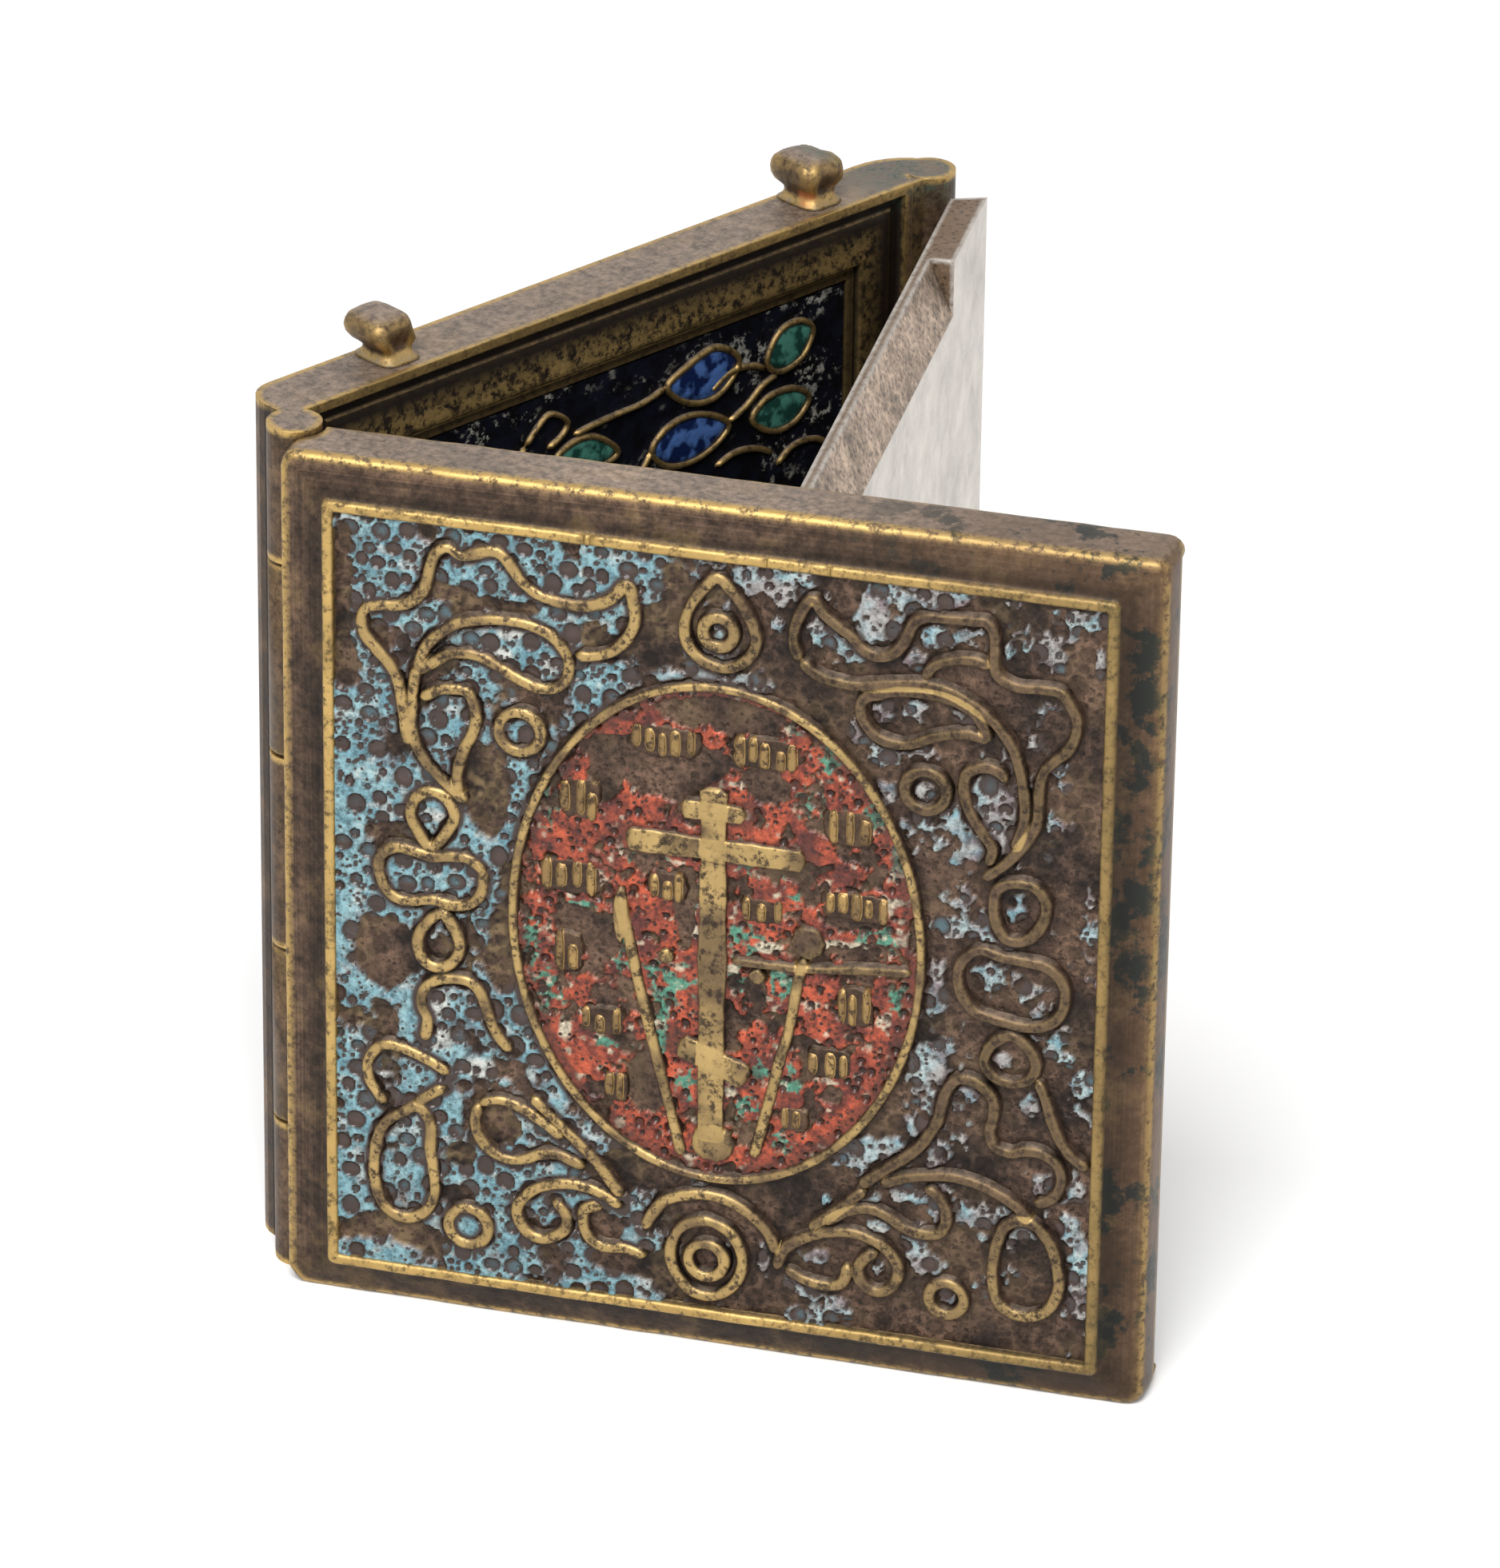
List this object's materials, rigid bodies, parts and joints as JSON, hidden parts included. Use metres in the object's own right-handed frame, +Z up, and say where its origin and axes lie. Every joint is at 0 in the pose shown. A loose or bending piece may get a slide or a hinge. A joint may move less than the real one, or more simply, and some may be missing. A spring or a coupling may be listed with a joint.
{
  "type": "folding travel icon triptych",
  "caption": "Small cast brass folding triptych: a centre leaf with two hinged side leaves, a relief cover with champleve enamel on the outside, standing part folded.",
  "frame": {"origin": "centre of the centre leaf's bottom edge, at the middle of its thickness", "axes": "+Z up, -Y out of the front of the centre leaf, +X towards the right leaf's hinge"},
  "size_m": [0.0649, 0.0583, 0.0655],
  "materials": {
    "cast_brass": "worn dark patina, bright on the high edges",
    "pale_brass": "rubbed pale, with a pitted bevel",
    "hinge_wire": "drawn wire",
    "blue_enamel": "opaque pitted enamel",
    "red_enamel": "opaque pitted enamel",
    "dark_enamel": "opaque enamel"
  },
  "bodies": {
    "centre": {"centre_leaf": "cast_brass", "centre_panel_enamel": "dark_enamel", "left_hinge_pin": "hinge_wire", "right_hinge_pin": "hinge_wire", "left_catch_lug": "cast_brass", "right_catch_lug": "cast_brass"},
    "left_wing": {"left_leaf": "cast_brass", "upper_left_ring_enamel": "blue_enamel", "lower_left_ring_enamel": "blue_enamel", "upper_right_ring_enamel": "blue_enamel", "lower_right_ring_enamel": "blue_enamel", "upper_left_lobe_enamel": "blue_enamel", "left_leaf_drop_enamel": "blue_enamel", "left_kidney_enamel": "blue_enamel", "left_lower_drop_enamel": "blue_enamel", "lower_left_oval_enamel": "blue_enamel", "top_drop_enamel": "blue_enamel", "bottom_flower_enamel": "blue_enamel", "upper_right_lobe_enamel": "blue_enamel", "right_leaf_drop_enamel": "blue_enamel", "right_kidney_enamel": "blue_enamel", "right_lower_drop_enamel": "blue_enamel", "lower_right_oval_enamel": "blue_enamel", "cover_ground_enamel": "blue_enamel", "medallion_enamel": "red_enamel", "left_inner_panel_enamel": "dark_enamel"},
    "right_wing": {"right_leaf": "pale_brass", "right_inner_panel_enamel": "dark_enamel"}
  },
  "joints": [
    {"name": "left_hinge", "type": "hinge", "parent": "centre", "child": "left_wing", "pos_m": [-0.0299, -0.0032, 0.031], "axis": [0, 0, -1], "range_deg": [-5, 121]},
    {"name": "right_hinge", "type": "hinge", "parent": "centre", "child": "right_wing", "pos_m": [0.0299, -0.0013, 0.031], "axis": [0, 0, 1], "range_deg": [-33.7, 146.2]}
  ]
}
